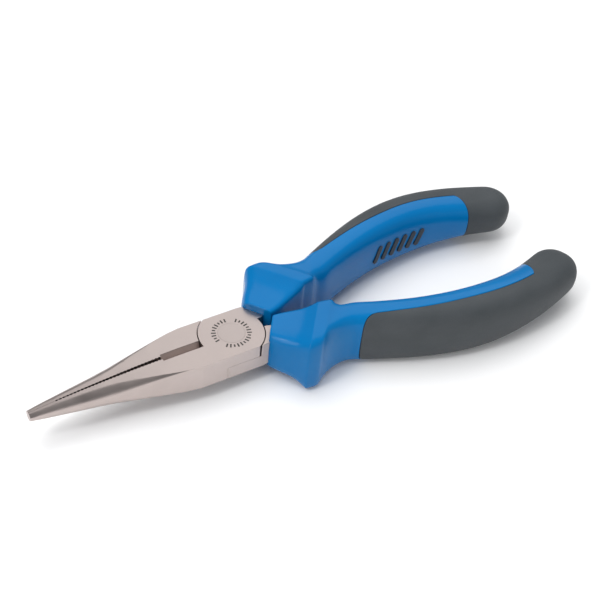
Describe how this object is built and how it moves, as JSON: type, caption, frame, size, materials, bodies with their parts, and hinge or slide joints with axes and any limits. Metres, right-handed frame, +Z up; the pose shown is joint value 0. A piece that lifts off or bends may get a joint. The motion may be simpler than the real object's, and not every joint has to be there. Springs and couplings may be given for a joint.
{
  "type": "long nose pliers",
  "caption": "Long tapering jaws with side cutters on a round riveted lap joint, and bowed two-tone grips with a flared finger guard.",
  "frame": {"origin": "bottom centre of the closed tool lying flat, on the surface it lies on", "axes": "+X from the tip of the jaws towards the ends of the handles, +Z up along the rivet axis, +Y across the tool towards the handle that belongs to the upper lap"},
  "size_m": [0.16, 0.0552, 0.0184],
  "materials": {
    "steel": "satin ground",
    "rivet_steel": "satin ground",
    "hard_grip": "soft gloss",
    "soft_grip": "matte"
  },
  "bodies": {
    "lower": {"half_lower": "steel", "rivet": "rivet_steel", "grip_front": "hard_grip", "panel_front": "soft_grip", "inlay_front": "soft_grip"},
    "upper": {"half_upper": "steel", "grip_back": "hard_grip", "panel_back": "soft_grip", "inlay_back": "soft_grip"}
  },
  "joints": [
    {"name": "rivet_turn", "type": "hinge", "parent": "lower", "child": "upper", "pos_m": [-0.0238, 0, 0.0092], "axis": [0, 0, 1], "range_deg": [0, 40]}
  ]
}
